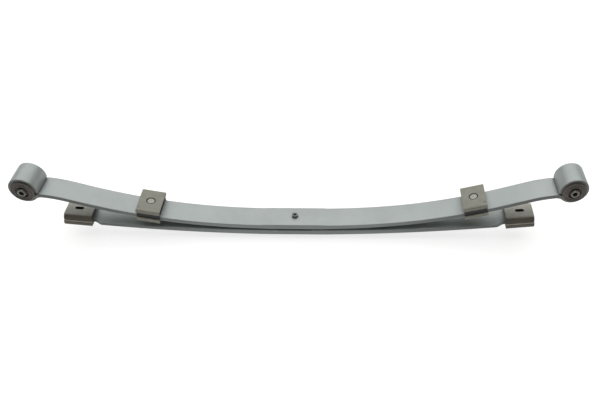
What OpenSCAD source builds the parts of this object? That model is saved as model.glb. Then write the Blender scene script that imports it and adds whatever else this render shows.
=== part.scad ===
// Two-leaf parabolic suspension spring with upturned eyes, rubber bushes, two leaf clips and end shoes.
// Millimetres. X runs along the spring, Y across it, +Z up.
// The origin is on the centre bolt's axis, at the top seat face of the main leaf.

/* [Leaves] */

// Width of both leaves
leaf_width = 60; // [45:1:90]
// Centre bolt to front eye centre, along X
front_half = 584; // [500:1:720]
// Centre bolt to rear eye centre, along X
rear_half = 604; // [500:1:720]
// Thickness of the main leaf at its seat
main_seat_thickness = 13; // [10:0.5:16]
// Thickness of the main leaf where the arms start
main_root_thickness = 11.3; // [9:0.5:15]
// Thickness of the main leaf at its eyes
main_tip_thickness = 9.8; // [7:0.1:12]
// Half the length of the raised seat
seat_half = 64; // [50:1:80]
// Height of the raised seat above the arms
seat_step = 1; // [0:0.1:3]
// Distance from the bolt at which the main leaf starts to rise
bend_start = 48; // [20:1:60]
// Distance from the bolt at which the bend tightens
bend_mid = 223; // [180:1:280]
// Distance from the bolt at which the arms run straight
bend_end = 475; // [420:1:490]
// Bend radius of the inner stretch of the main leaf
inner_bend_radius = 1500; // [1100:10:2200]
// Bend radius of the outer stretch of the main leaf
outer_bend_radius = 1130; // [900:10:2000]

/* [Second leaf] */

// Centre bolt to the middle of the front end shoe
front_second_half = 496; // [430:1:530]
// Centre bolt to the middle of the rear end shoe
rear_second_half = 512; // [430:1:530]
// Thickness of the second leaf at the seat
second_seat_thickness = 13; // [10:0.5:16]
// Thickness of the second leaf at its tips
second_tip_thickness = 7.5; // [6:0.5:10]
// Distance from the bolt at which the second leaf starts to rise
second_bend_start = 41; // [20:1:58]
// Bend radius of the second leaf
second_bend_radius = 4000; // [2500:50:6000]
// Thickness of the plate between the leaves
spacer_thickness = 3.5; // [2:0.5:8]
// Width of the narrowed leaf tip inside the shoe
tip_width = 42; // [34:1:44]

/* [Eyes and bushes] */

// Outside radius of the rolled eye
eye_radius = 30.5; // [26:0.5:36]
// Angle by which the arm's end bends back before its eye, in degrees
tip_bend = 11; // [4:0.5:14]
// Radius of that back bend
tip_bend_radius = 250; // [180:10:400]
// Height of the eye centre over the top surface of the bent-back end
eye_lift = 5; // [0:0.5:8]
// Middle radius of the short dip that leads into the eye
dip_radius = 25; // [14:0.5:34]
// Gap between the scroll's end and the leaf
scroll_gap = 2; // [0.4:0.1:3]
// Wall of the bush's outer shell
shell_wall = 1.5; // [1:0.1:2.5]
// Outside radius of the bush's inner sleeve
sleeve_radius = 9; // [8:0.1:11]
// Bore radius of the bush's inner sleeve
sleeve_bore_radius = 5.1; // [4:0.1:7]
// How far each end of the sleeve stands out of the eye
sleeve_proud = 9; // [6:0.5:12]
// How far each end of the rubber stands out of the eye
rubber_proud = 5.5; // [4:0.5:8]
// Radius of the rubber's flange outside the eye
flange_radius = 25; // [22:0.5:28]
// Gap between the rubber's flange and the eye's side
flange_gap = 1.8; // [0.4:0.1:2.5]
// Gap between the rubber's face and the eye's bore
rubber_inset = 2; // [1.6:0.1:3]
// Depth of the ring groove in the rubber's face
groove_depth = 5; // [2:0.5:8]
// Width of the ring groove in the rubber's face
groove_width = 4; // [2:0.2:5]
// How far the shell's ends stay inside the leaf's edges
shell_inset = 3; // [1:0.5:6]

/* [Clips] */

// Centre bolt to the middle of the front clip, along the leaf
front_clip_distance = 328; // [280:1:420]
// Centre bolt to the middle of the rear clip, along the leaf
rear_clip_distance = 406; // [280:1:420]
// Length of a clip along the leaf
clip_length = 52; // [40:1:60]
// Overhang of a clip's plates past each side of the leaf
clip_overhang = 6.2; // [5:0.1:10]
// Thickness of the clip plates
clip_plate = 2.6; // [2:0.1:4]
// Total height of the upper plate's turned-down edges
clip_flange = 9; // [6:0.5:12]
// Thickness of the rubber pad on top of the leaf
clip_pad = 16; // [6:0.5:20]
// How far the lower plate's lips stop under the leaf's top surface
clip_lip_drop = 4; // [0.5:0.5:6]
// Thickness of the rubber under the leaf
liner_thickness = 1.2; // [0.8:0.1:3]
// Play round the dowel's head in the upper plate
dowel_hole_play = 2.3; // [1:0.1:4]
// Radius of the small locating hole in the upper plate
mark_radius = 2; // [1:0.1:3]
// Head radius of the dowel
dowel_head_radius = 8; // [6:0.1:9]
// Shank radius of the dowel
dowel_shank_radius = 5; // [3:0.1:6]

/* [End shoes] */

// Length of a shoe along the leaf
shoe_length = 62; // [54:1:76]
// Width of the shoe's foot
shoe_foot_width = 66; // [58:1:80]
// Height of the shoe's dome over its foot
shoe_dome = 12.5; // [9:0.5:16]
// Wall thickness of the shoe
shoe_wall = 3.2; // [2.5:0.1:4]
// How far the foot stands out past the dome on each side
shoe_ledge = 4; // [2:0.5:6]
// Half the width of the slot in the dome
slot_radius = 4.5; // [3:0.5:6]
// Length of the slot's straight sides
slot_run = 11; // [4:1:18]
// How far the slot sits outwards of the button
slot_shift = 2; // [0:0.5:6]
// Radius of the button that holds the shoe on the leaf
button_radius = 5.6; // [4:0.1:8]

/* [Centre bolt] */

// Radius of the bolt head
bolt_head_radius = 7; // [6:0.1:9]
// Height of the bolt head
bolt_head_height = 6; // [4:0.1:9]
// Across the corners of the hexagon socket, halved
socket_radius = 3.5; // [2:0.1:4]
// Radius of the bolt shank
bolt_radius = 5; // [4:0.1:6]
// Width across the nut's flats
nut_flats = 17; // [15:0.5:22]
// Height of the nut
nut_height = 8; // [6:0.5:12]

/* [Bending hinges] */

// Distance from the bolt to the main leaf's bending axis
main_hinge = 190; // [160:1:220]
// Distance from the bolt to the second leaf's bending axis
second_hinge = 160; // [130:1:190]
// Play between a rounded arm end and its hollow seat
hinge_play = 0.08; // [0.04:0.01:0.1]

/* [Hidden] */

$fn = 96;
steps = 12;
ramp = 12;
taper_start = 70;
inner_slope = (bend_mid - bend_start) / inner_bend_radius;
end_slope = inner_slope + (bend_end - bend_mid) / outer_bend_radius;
end_angle = atan(end_slope);
main_bottom = -main_seat_thickness;
second_top = main_bottom - spacer_thickness;
second_bottom = second_top - second_seat_thickness;
eye_angle = end_angle - tip_bend;
eye_middle = eye_radius - main_tip_thickness / 2;
eye_drop = eye_lift + main_tip_thickness / 2;
eye_run = sqrt((2 * dip_radius + eye_middle + eye_drop) * (eye_middle - eye_drop));
eye_bore = eye_radius - main_tip_thickness;
shell_radius = eye_bore - 0.02;
rubber_radius = shell_radius - shell_wall - 0.03;
shell_half = leaf_width / 2 - shell_inset;
half_width = leaf_width / 2;
clip_half_width = half_width + clip_overhang;
// The spacer ends where either leaf starts to lift away from it.
spacer_half = min(second_bend_start, bend_start, seat_half) - 1;
bolt_hole = bolt_radius + 0.25;
clip_air = 0.4;
// An arm's rounded end stays this far under the leaf's skin, and its flat part starts just past the bend's axis.
hinge_skin = 0.05;
hinge_step = 0.6;

function clamp(v, low, high) = max(low, min(v, high));

// Height gained by the main leaf at distance d from the bolt.
function main_rise(d) =
    let (a = clamp(d - bend_start, 0, bend_mid - bend_start))
    let (b = clamp(d - bend_mid, 0, bend_end - bend_mid))
    let (c = max(d - bend_end, 0))
    a * a / (2 * inner_bend_radius) + inner_slope * b + b * b / (2 * outer_bend_radius) + end_slope * c;

function main_slope(d) =
    clamp(d - bend_start, 0, bend_mid - bend_start) / inner_bend_radius
    + clamp(d - bend_mid, 0, bend_end - bend_mid) / outer_bend_radius;

function main_top(d) =
    main_rise(d) * clamp((d - seat_half) / ramp, 0, 1) - seat_step * clamp((d - seat_half) / ramp, 0, 1);

// Thickness square to the leaf's surface.
function main_thickness(d) =
    main_root_thickness
    + (main_tip_thickness - main_root_thickness)
    * clamp((d - seat_half - ramp) / (bend_end - seat_half - ramp), 0, 1);

function main_low(d) =
    d <= seat_half ? main_bottom : main_top(d) - main_thickness(d) * sqrt(1 + pow(main_slope(d), 2));

function second_rise(d) = pow(max(d - second_bend_start, 0), 2) / (2 * second_bend_radius);

function second_slope(d) = max(d - second_bend_start, 0) / second_bend_radius;

function second_thickness(d) =
    second_seat_thickness
    + (second_tip_thickness - second_seat_thickness)
    * clamp((d - taper_start) / (front_second_half - taper_start - 35), 0, 1);

function second_high(d) = second_top + second_rise(d);

function second_low(d) = second_high(d) - second_thickness(d) * sqrt(1 + pow(second_slope(d), 2));

function reversed(v) = [for (i = [len(v) - 1:-1:0]) v[i]];

function spread(first, last, count) = [for (i = [0:count]) first + (last - first) * i / count];

// Points on a circle from angle a0 to a1 around c.
function arc_points(c, r, a0, a1, count) = [for (a = spread(a0, a1, count)) [c[0] + r * cos(a), c[1] + r * sin(a)]];

function turned(p, c, a) = [
    c[0] + p[0] * cos(a) - p[1] * sin(a),
    c[1] + p[0] * sin(a) + p[1] * cos(a)
];

// The leaf's surfaces beyond distance b, where its end starts to bend back.
function arm_top(d, b) = main_top(d) - pow(max(d - b, 0), 2) / (2 * tip_bend_radius);

function arm_low(d, b) =
    arm_top(d, b)
    - main_thickness(d) * sqrt(1 + pow(main_slope(d) - max(d - b, 0) / tip_bend_radius, 2));

// Distance at which the dip into the eye starts, and at which the end starts to bend back.
function dip_start(half) = half - eye_run * cos(eye_angle) + eye_lift * sin(eye_angle);

function back_start(half) = dip_start(half) - (end_slope - tan(eye_angle)) * tip_bend_radius;

function eye_centre(half) = [
    half,
    arm_top(dip_start(half), back_start(half)) + eye_run * sin(eye_angle) + eye_lift * cos(eye_angle)
];

// A side profile in X and Z, extruded across the leaf's width.
module across(width) {
    rotate([90, 0, 0]) {
        linear_extrude(height = width, center = true) {
            children();
        }
    }
}

module bar_along_y(radius, length) {
    rotate([90, 0, 0]) {
        cylinder(r = radius, h = length, center = true);
    }
}

// Places children on the main leaf's top surface at distance d on side +1 or -1.
module on_main(d, side) {
    translate([side * d, 0, main_top(d)]) {
        rotate([0, -side * atan(main_slope(d)), 0]) {
            children();
        }
    }
}

// Places children under the second leaf's tip, at the leaf's lower surface.
module on_second_tip(d, side) {
    translate([side * d, 0, second_low(d)]) {
        rotate([0, -side * atan(second_slope(d)), 0]) {
            children();
        }
    }
}

module steel() {
    color("#a9aeb1") {
        children();
    }
}

module main_leaf_centre() {
    stations = concat([seat_half], spread(seat_half + ramp, main_hinge - 1, steps));
    profile = concat(
        [for (d = reversed(stations)) [-d, main_top(d)]],
        [for (d = stations) [d, main_top(d)]],
        [for (d = reversed(stations)) [d, main_low(d)]],
        [for (d = stations) [-d, main_low(d)]]
    );
    hinge_height = (main_top(main_hinge) + main_low(main_hinge)) / 2;
    hinge_radius = main_thickness(main_hinge) / 2 - hinge_skin + hinge_play;
    steel() {
        difference() {
            across(leaf_width) {
                polygon(profile);
            }
            for (side = [-1, 1]) {
                translate([side * main_hinge, 0, hinge_height]) {
                    bar_along_y(hinge_radius, leaf_width + 2);
                }
            }
            translate([0, 0, main_bottom - 1]) {
                cylinder(r = bolt_hole, h = main_seat_thickness + 2);
            }
        }
    }
}

module main_arm(half, clip_distance, side) {
    centre = eye_centre(half);
    back = back_start(half);
    t = main_tip_thickness;
    lean = atan2(eye_drop + dip_radius, eye_run);
    dip = [-eye_run, -eye_drop - dip_radius];
    lift_angle = asin((scroll_gap - eye_lift) / eye_radius);
    // The stations stop 1 mm short of where the top surface starts to dip.
    stations = concat(
        spread(main_hinge + hinge_step, back - 4, 2 * steps),
        spread(back, dip_start(half) - 1, steps)
    );
    low_dip = arc_points(dip, dip_radius - t / 2, 90, lean, 8);
    // The bore is cut round after this, so the inner points stay inside it and cross its edge at a clear angle.
    high_dip = arc_points(dip, dip_radius + t / 2, 90, lean + 12, 8);
    ring_out = arc_points([0, 0], eye_radius, 184 + lean, 540 - lift_angle, 72);
    ring_in = arc_points([0, 0], eye_bore - 0.6, 192 + lean, 540 - lift_angle, 36);
    profile = concat(
        [for (d = stations) [d, arm_low(d, back)]],
        [for (p = low_dip) turned(p, centre, eye_angle)],
        [for (p = ring_out) turned(p, centre, eye_angle)],
        [for (p = reversed(ring_in)) turned(p, centre, eye_angle)],
        [for (p = reversed(high_dip)) turned(p, centre, eye_angle)],
        [for (d = reversed(stations)) [d, arm_top(d, back)]]
    );
    hinge_height = (main_top(main_hinge) + main_low(main_hinge)) / 2;
    hinge_radius = main_thickness(main_hinge) / 2 - hinge_skin;
    steel() {
        difference() {
            union() {
                across(leaf_width) {
                    if (side > 0) {
                        polygon(profile);
                    } else {
                        polygon([for (p = profile) [-p[0], p[1]]]);
                    }
                }
                translate([side * main_hinge, 0, hinge_height]) {
                    bar_along_y(hinge_radius, leaf_width);
                }
            }
            translate([side * centre[0], 0, centre[1]]) {
                bar_along_y(eye_bore, leaf_width + 2);
            }
            on_main(clip_distance, side) {
                cylinder(r = dowel_shank_radius, h = 60, center = true);
            }
        }
    }
}

module main_leaf_front_arm() {
    main_arm(front_half, front_clip_distance, -1);
}

module main_leaf_rear_arm() {
    main_arm(rear_half, rear_clip_distance, 1);
}

module second_leaf_centre() {
    stations = spread(max(seat_half, second_bend_start + 5), second_hinge - 1, steps);
    profile = concat(
        [for (d = reversed(stations)) [-d, second_high(d)]],
        [[-second_bend_start, second_top], [second_bend_start, second_top]],
        [for (d = stations) [d, second_high(d)]],
        [for (d = reversed(stations)) [d, second_low(d)]],
        [[second_bend_start, second_bottom], [-second_bend_start, second_bottom]],
        [for (d = stations) [-d, second_low(d)]]
    );
    hinge_height = (second_high(second_hinge) + second_low(second_hinge)) / 2;
    hinge_radius = second_thickness(second_hinge) / 2 - hinge_skin + hinge_play;
    steel() {
        difference() {
            across(leaf_width) {
                polygon(profile);
            }
            for (side = [-1, 1]) {
                translate([side * second_hinge, 0, hinge_height]) {
                    bar_along_y(hinge_radius, leaf_width + 2);
                }
            }
            translate([0, 0, second_bottom - 1]) {
                cylinder(r = bolt_hole, h = second_seat_thickness + 2);
            }
        }
    }
}

module second_arm(half, side) {
    tip = half + shoe_length / 2 - 5;
    neck = half - shoe_length / 2 - 2;
    stations = spread(second_hinge + hinge_step, tip, 2 * steps);
    profile = concat(
        [for (d = stations) [side * d, second_low(d)]],
        [for (d = reversed(stations)) [side * d, second_high(d)]]
    );
    hinge_height = (second_high(second_hinge) + second_low(second_hinge)) / 2;
    hinge_radius = second_thickness(second_hinge) / 2 - hinge_skin;
    steel() {
        difference() {
            union() {
                across(leaf_width) {
                    polygon(profile);
                }
                translate([side * second_hinge, 0, hinge_height]) {
                    bar_along_y(hinge_radius, leaf_width);
                }
            }
            for (edge = [-1, 1]) {
                linear_extrude(height = 200, center = true) {
                    polygon([
                        [side * (neck - 20), edge * half_width],
                        [side * neck, edge * tip_width / 2],
                        [side * (tip + 5), edge * tip_width / 2],
                        [side * (tip + 5), edge * (half_width + 5)],
                        [side * (neck - 20), edge * (half_width + 5)]
                    ]);
                }
            }
            on_second_tip(half, side) {
                cylinder(r = button_radius + 0.4, h = 60, center = true);
            }
        }
    }
}

module second_leaf_front_arm() {
    second_arm(front_second_half, -1);
}

module second_leaf_rear_arm() {
    second_arm(rear_second_half, 1);
}

module interleaf_spacer() {
    color("#3a3b3c") {
        difference() {
            translate([-spacer_half, -half_width, second_top]) {
                cube([2 * spacer_half, leaf_width, spacer_thickness]);
            }
            translate([0, 0, second_top - 1]) {
                cylinder(r = bolt_hole, h = spacer_thickness + 2);
            }
        }
    }
}

module centre_bolt() {
    shank_end = second_bottom - nut_height - 3;
    color("#8e9294") {
        difference() {
            union() {
                cylinder(r = bolt_head_radius, h = bolt_head_height - 0.6);
                translate([0, 0, bolt_head_height - 0.6]) {
                    cylinder(r1 = bolt_head_radius, r2 = bolt_head_radius - 0.6, h = 0.6);
                }
                translate([0, 0, shank_end + 1]) {
                    cylinder(r = bolt_radius, h = -shank_end - 1);
                }
                translate([0, 0, shank_end]) {
                    cylinder(r1 = bolt_radius - 1, r2 = bolt_radius, h = 1);
                }
            }
            translate([0, 0, bolt_head_height - 4]) {
                cylinder(r = socket_radius, h = 5, $fn = 6);
            }
        }
    }
}

module centre_nut() {
    corner = nut_flats / sqrt(3);
    color("#8e9294") {
        difference() {
            translate([0, 0, second_bottom - nut_height]) {
                intersection() {
                    cylinder(r = corner, h = nut_height, $fn = 6);
                    cylinder(r1 = nut_flats / 2 - 0.1, r2 = nut_flats / 2 + nut_height, h = nut_height);
                }
            }
            translate([0, 0, second_bottom - nut_height - 1]) {
                cylinder(r = bolt_radius + 0.03, h = nut_height + 2);
            }
        }
    }
}

// Places a bush in the eye of one side.
module in_eye(half, side) {
    centre = eye_centre(half);
    translate([side * centre[0], 0, centre[1]]) {
        rotate([90, 0, 0]) {
            children();
        }
    }
}

module bush_shell() {
    color("#6f7375") {
        difference() {
            cylinder(r = shell_radius, h = 2 * shell_half, center = true);
            cylinder(r = shell_radius - shell_wall, h = leaf_width, center = true);
        }
    }
}

module bush_rubber() {
    edge = half_width + rubber_proud;
    back = half_width + flange_gap;
    lip = eye_bore - rubber_inset;
    groove = sleeve_radius + 0.7 + groove_width / 2;
    wide = groove_width / 2;
    narrow = wide - 0.6;
    round = 1.8;
    outline = [
        [sleeve_radius + 0.05, edge],
        [groove - wide, edge],
        [groove - narrow, edge - groove_depth],
        [groove + narrow, edge - groove_depth],
        [groove + wide, edge],
        [flange_radius - round, edge],
        [flange_radius - 0.3 * round, edge - 0.3 * round],
        [flange_radius, edge - round],
        [flange_radius, back],
        [lip, back],
        [lip, shell_half],
        [rubber_radius, shell_half]
    ];
    color("#2f2d2b") {
        rotate_extrude() {
            polygon(concat([for (p = reversed(outline)) p], [for (p = outline) [p[0], -p[1]]]));
        }
    }
}

module bush_sleeve() {
    reach = half_width + sleeve_proud;
    color("#a4a8aa") {
        rotate_extrude() {
            polygon([
                [sleeve_bore_radius, -reach],
                [sleeve_radius - 0.8, -reach],
                [sleeve_radius, -reach + 0.8],
                [sleeve_radius, reach - 0.8],
                [sleeve_radius - 0.8, reach],
                [sleeve_bore_radius, reach]
            ]);
        }
    }
}

module front_bush_shell() {
    in_eye(front_half, -1) {
        bush_shell();
    }
}

module front_bush_rubber() {
    in_eye(front_half, -1) {
        bush_rubber();
    }
}

module front_bush_sleeve() {
    in_eye(front_half, -1) {
        bush_sleeve();
    }
}

module rear_bush_shell() {
    in_eye(rear_half, 1) {
        bush_shell();
    }
}

module rear_bush_rubber() {
    in_eye(rear_half, 1) {
        bush_rubber();
    }
}

module rear_bush_sleeve() {
    in_eye(rear_half, 1) {
        bush_sleeve();
    }
}

// The flat plate with turned-down edges that lies on top of the leaf.
module clip_upper_plate(d, side) {
    top = clip_air + clip_pad + clip_plate;
    color("#85857a") {
        on_main(d, side) {
            difference() {
                translate([-clip_length / 2, -clip_half_width, top - clip_flange]) {
                    cube([clip_length, 2 * clip_half_width, clip_flange]);
                }
                translate([-clip_length / 2 - 1, -clip_half_width + clip_plate, top - clip_flange - 1]) {
                    cube([clip_length + 2, 2 * (clip_half_width - clip_plate), clip_flange + 1 - clip_plate]);
                }
                cylinder(r = dowel_head_radius + dowel_hole_play, h = 60, center = true);
                translate([side * (clip_length / 2 - 2.5 - mark_radius), -half_width + 5, 0]) {
                    cylinder(r = mark_radius, h = 60, center = true);
                }
            }
        }
    }
}

// The rubber sleeve between the plates and the leaf.
module clip_liner(d, side) {
    t = main_thickness(d);
    skin = clip_half_width - clip_plate - 0.05;
    color("#1c1c1b") {
        on_main(d, side) {
            difference() {
                translate([-clip_length / 2 + 1, -skin, -t - clip_air - liner_thickness]) {
                    cube([clip_length - 2, 2 * skin, t + 2 * clip_air + liner_thickness + clip_pad]);
                }
                translate([-clip_length / 2, -half_width - 0.3, -t - clip_air]) {
                    cube([clip_length, leaf_width + 0.6, t + 2 * clip_air]);
                }
                translate([0, 0, 0.2]) {
                    cylinder(r = dowel_head_radius + 0.3, h = 30);
                }
                translate([0, 0, -30]) {
                    cylinder(r = dowel_shank_radius + 0.8, h = 29);
                }
            }
        }
    }
}

// The lower plate with turned-up edges that lies under the leaf.
module clip_lower_plate(d, side) {
    t = main_thickness(d);
    top = -t - clip_air - liner_thickness;
    lip = clip_plate - top - clip_lip_drop;
    color("#85857a") {
        on_main(d, side) {
            difference() {
                translate([-clip_length / 2, -clip_half_width, top - clip_plate]) {
                    cube([clip_length, 2 * clip_half_width, lip]);
                }
                translate([-clip_length / 2 - 1, -clip_half_width + clip_plate, top]) {
                    cube([clip_length + 2, 2 * (clip_half_width - clip_plate), lip]);
                }
                cylinder(r = dowel_shank_radius + 0.8, h = 60, center = true);
            }
        }
    }
}

// The headed pin that keeps the clip from sliding along the leaf.
module clip_dowel(d, side) {
    t = main_thickness(d);
    head = clip_air + clip_pad + clip_plate - 0.5;
    color("#b9bbb6") {
        on_main(d, side) {
            translate([0, 0, 0.1]) {
                cylinder(r = dowel_head_radius, h = head);
            }
            translate([0, 0, -t - clip_air - liner_thickness - clip_plate + 0.4]) {
                cylinder(r = dowel_shank_radius - 0.02, h = t + clip_air + liner_thickness + clip_plate);
            }
        }
    }
}

module front_clip_upper_plate() {
    clip_upper_plate(front_clip_distance, -1);
}

module front_clip_liner() {
    clip_liner(front_clip_distance, -1);
}

module front_clip_lower_plate() {
    clip_lower_plate(front_clip_distance, -1);
}

module front_clip_dowel() {
    clip_dowel(front_clip_distance, -1);
}

module rear_clip_upper_plate() {
    clip_upper_plate(rear_clip_distance, 1);
}

module rear_clip_liner() {
    clip_liner(rear_clip_distance, 1);
}

module rear_clip_lower_plate() {
    clip_lower_plate(rear_clip_distance, 1);
}

module rear_clip_dowel() {
    clip_dowel(rear_clip_distance, 1);
}

// A flat-bottomed outline with round top corners.
module arched(half, radius) {
    intersection() {
        union() {
            for (e = [-1, 1]) {
                translate([e * (half - radius), 0]) {
                    circle(r = radius);
                }
            }
            translate([radius - half, 0]) {
                square([2 * (half - radius), radius]);
            }
        }
        translate([-half, 0]) {
            square([2 * half, radius]);
        }
    }
}

// A moulded shoe: a solid foot around the leaf tip and a hollow dome over it.
module end_shoe(half, side) {
    t = second_thickness(half);
    foot_top = t - 0.5;
    shoulder = shoe_dome + 0.5;
    dome_half = shoe_foot_width / 2 - shoe_ledge;
    hollow = shoulder - shoe_wall;
    room = dome_half - shoe_wall;
    color("#6d6b62") {
        on_second_tip(half, side) {
            rotate([0, 0, side > 0 ? 90 : -90]) {
                difference() {
                    rotate([90, 0, 0]) {
                        linear_extrude(height = shoe_length, center = true) {
                            translate([-shoe_foot_width / 2, -shoe_wall]) {
                                square([shoe_foot_width, foot_top + shoe_wall]);
                            }
                            translate([0, foot_top - 0.5]) {
                                arched(dome_half, shoulder);
                            }
                        }
                    }
                    translate([0, shoe_wall, 0]) {
                        translate([-tip_width / 2 - 0.3, -shoe_length / 2, -0.6]) {
                            cube([tip_width + 0.6, shoe_length, t + 1.2]);
                        }
                        translate([0, 0, t]) {
                            rotate([90, 0, 0]) {
                                linear_extrude(height = shoe_length, center = true) {
                                    translate([0, -1]) {
                                        arched(room, hollow);
                                    }
                                }
                            }
                        }
                    }
                    translate([0, -slot_shift, t]) {
                        linear_extrude(height = 60) {
                            for (e = [-1, 1]) {
                                translate([0, e * slot_run / 2]) {
                                    circle(r = slot_radius);
                                }
                            }
                            square([2 * slot_radius, slot_run], center = true);
                        }
                    }
                }
                translate([0, 0, -shoe_wall / 2]) {
                    cylinder(r = button_radius, h = t + shoe_wall / 2 - 1);
                }
            }
        }
    }
}

module front_end_shoe() {
    end_shoe(front_second_half, -1);
}

module rear_end_shoe() {
    end_shoe(rear_second_half, 1);
}

main_leaf_centre();
main_leaf_front_arm();
main_leaf_rear_arm();
second_leaf_centre();
second_leaf_front_arm();
second_leaf_rear_arm();
interleaf_spacer();
centre_bolt();
centre_nut();
front_bush_shell();
front_bush_rubber();
front_bush_sleeve();
rear_bush_shell();
rear_bush_rubber();
rear_bush_sleeve();
front_clip_upper_plate();
front_clip_liner();
front_clip_lower_plate();
front_clip_dowel();
rear_clip_upper_plate();
rear_clip_liner();
rear_clip_lower_plate();
rear_clip_dowel();
front_end_shoe();
rear_end_shoe();
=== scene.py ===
import math
import bpy
import bmesh
from mathutils import Matrix, Vector


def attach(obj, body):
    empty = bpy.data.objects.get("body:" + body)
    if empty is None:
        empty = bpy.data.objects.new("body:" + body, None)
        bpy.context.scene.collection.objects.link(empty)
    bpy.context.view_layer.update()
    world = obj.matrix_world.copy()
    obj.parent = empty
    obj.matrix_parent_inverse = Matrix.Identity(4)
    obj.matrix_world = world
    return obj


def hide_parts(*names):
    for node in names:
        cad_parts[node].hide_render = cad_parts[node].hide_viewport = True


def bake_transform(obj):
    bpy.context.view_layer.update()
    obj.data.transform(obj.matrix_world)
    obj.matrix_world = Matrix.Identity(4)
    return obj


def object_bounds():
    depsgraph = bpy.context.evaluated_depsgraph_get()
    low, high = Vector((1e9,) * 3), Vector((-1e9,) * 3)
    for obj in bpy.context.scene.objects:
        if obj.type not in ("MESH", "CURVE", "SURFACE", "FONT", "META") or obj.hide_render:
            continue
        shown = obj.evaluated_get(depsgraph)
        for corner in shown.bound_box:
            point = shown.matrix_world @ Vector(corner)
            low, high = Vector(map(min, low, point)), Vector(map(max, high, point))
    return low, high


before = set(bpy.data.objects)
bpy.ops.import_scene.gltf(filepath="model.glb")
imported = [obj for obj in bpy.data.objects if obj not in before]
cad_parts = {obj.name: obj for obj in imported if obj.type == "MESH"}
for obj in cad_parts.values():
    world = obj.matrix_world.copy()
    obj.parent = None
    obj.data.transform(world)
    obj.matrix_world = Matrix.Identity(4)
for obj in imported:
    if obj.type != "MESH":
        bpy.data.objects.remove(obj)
cadBox = [list(corner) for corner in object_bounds()]
mm = 0.001

# Camera
camera = {
    "place": (0.13732, -0.98021, 0.90079),
    "right": (0.99974, 0.02086, -0.00952),
    "up": (-0.01008, 0.77284, 0.63452),
    "lens": 34.18, "sensor": 36.0,
    "shift": (-0.0695, 0.1620),
    "clip": (0.01, 50.0),
}
eye = bpy.data.cameras.new("sceneCamera")
eye.lens = camera["lens"]
eye.sensor_width = camera["sensor"]
eye.shift_x, eye.shift_y = camera["shift"]
eye.clip_start, eye.clip_end = camera["clip"]
right = Vector(camera["right"]).normalized()
up = Vector(camera["up"])
up = (up - right * up.dot(right)).normalized()
away = right.cross(up)
cameraObject = bpy.data.objects.new("sceneCamera", eye)
cameraObject.matrix_world = Matrix.Translation(camera["place"]) @ Matrix(
    (right, up, away)).transposed().to_4x4()
bpy.context.collection.objects.link(cameraObject)
bpy.context.scene.camera = cameraObject
print("camera placed")


# Small helpers; outlines are in millimetres
nearAxis = 0.001  # a lathed outline stops this far from its axis
weldGap, thinGap = 1e-6, 1e-7  # metres: closer points become one, thinner faces go


def clamp(value, low, high):
    return max(low, min(value, high))


def spread(first, last, count):
    return [first + (last - first) * i / count for i in range(count + 1)]


def smoothStep(f):
    return f * f * (3 - 2 * f)


def hexColour(text):
    parts = [int(text[i:i + 2], 16) / 255 for i in (1, 3, 5)]
    linear = [p / 12.92 if p <= 0.04045 else ((p + 0.055) / 1.055) ** 2.4 for p in parts]
    return (*linear, 1.0)


def addNode(tree, kind, inputs=None, **settings):
    node = tree.nodes.new(kind)
    for key, value in settings.items():
        setattr(node, key, value)
    for key, value in (inputs or {}).items():
        if isinstance(value, bpy.types.NodeSocket):
            tree.links.new(value, node.inputs[key])
        else:
            node.inputs[key].default_value = value
    return node


def newObject(name, mesh):
    obj = bpy.data.objects.new(name, mesh)
    bpy.context.collection.objects.link(obj)
    return obj


def meshFrom(name, points, faces):
    mesh = bpy.data.meshes.new(name)
    mesh.from_pydata([tuple(p) for p in points], [], faces)
    return newObject(name, mesh)


def settle(obj, sharpAngle=32):
    # turns the evaluated object into a plain mesh with outward faces
    depsgraph = bpy.context.evaluated_depsgraph_get()
    mesh = bpy.data.meshes.new_from_object(obj.evaluated_get(depsgraph))
    obj.modifiers.clear()
    old = obj.data
    obj.data = mesh
    bpy.data.meshes.remove(old)
    work = bmesh.new()
    work.from_mesh(mesh)
    bmesh.ops.remove_doubles(work, verts=work.verts, dist=weldGap)
    bmesh.ops.dissolve_degenerate(work, edges=work.edges, dist=thinGap)
    bmesh.ops.recalc_face_normals(work, faces=work.faces)
    work.to_mesh(mesh)
    work.free()
    mesh.shade_smooth()
    mesh.set_sharp_from_angle(angle=math.radians(sharpAngle))
    return obj


def cutAway(obj, cutter, keep="DIFFERENCE"):
    modifier = obj.modifiers.new("cut", "BOOLEAN")
    modifier.operation = keep
    modifier.solver = "EXACT"
    modifier.object = cutter
    settle(obj)
    bpy.data.objects.remove(cutter)
    return obj


def roundEdges(obj, width, segments=3, angle=30):
    modifier = obj.modifiers.new("round", "BEVEL")
    modifier.width = width * mm
    modifier.segments = segments
    modifier.limit_method = "ANGLE"
    modifier.angle_limit = math.radians(angle)
    modifier.harden_normals = False
    return settle(obj)


def prism(name, outline, low, high, axes="yzx"):
    # a closed outline in millimetres, pushed along the third of the named axes
    order = ["xyz".index(a) for a in axes]
    points = []
    for level in (low, high):
        for a, b in outline:
            p = [0, 0, 0]
            p[order[0]], p[order[1]], p[order[2]] = a * mm, b * mm, level * mm
            points.append(p)
    n = len(outline)
    faces = [list(range(n))[::-1], list(range(n, 2 * n))]
    faces += [[i, (i + 1) % n, n + (i + 1) % n, n + i] for i in range(n)]
    return settle(meshFrom(name, points, faces))


def lathe(name, outline, closed=True, count=96):
    # turns (radius, height) pairs in millimetres about the Z axis
    points, faces, rows = [], [], len(outline)
    for step in range(count):
        a = 2 * math.pi * step / count
        points += [(r * mm * math.cos(a), r * mm * math.sin(a), z * mm) for r, z in outline]
    last = rows if closed else rows - 1
    for step in range(count):
        here, there = step * rows, ((step + 1) % count) * rows
        for row in range(last):
            after = (row + 1) % rows
            faces.append([here + row, here + after, there + after, there + row])
    return settle(meshFrom(name, points, faces))


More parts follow.
